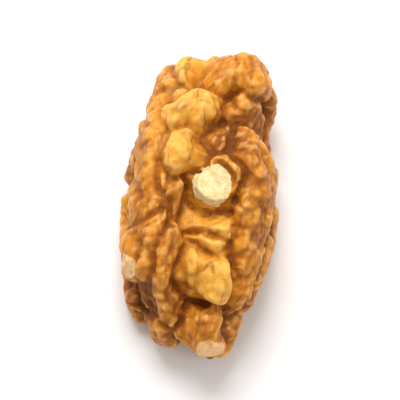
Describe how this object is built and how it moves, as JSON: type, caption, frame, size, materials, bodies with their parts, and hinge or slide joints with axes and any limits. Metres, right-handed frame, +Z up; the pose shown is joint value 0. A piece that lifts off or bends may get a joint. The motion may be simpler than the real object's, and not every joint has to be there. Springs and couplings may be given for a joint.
{
  "type": "walnut kernel half",
  "caption": "Shelled dry walnut kernel half, a long folded dome with a lobed, hollowed open side, lying dome up.",
  "frame": {"origin": "on the surface that the kernel lies on, under the middle of its box", "axes": "+Y from the tip to the broad end, +Z up out of the dome, +X to the right when looked down on with the broad end away from the viewer"},
  "size_m": [0.0172, 0.034, 0.0136],
  "materials": {
    "skin": "dry, thin, veined skin with a soft satin gloss"
  },
  "bodies": {
    "root": {"walnut_kernel": "skin"}
  },
  "joints": []
}
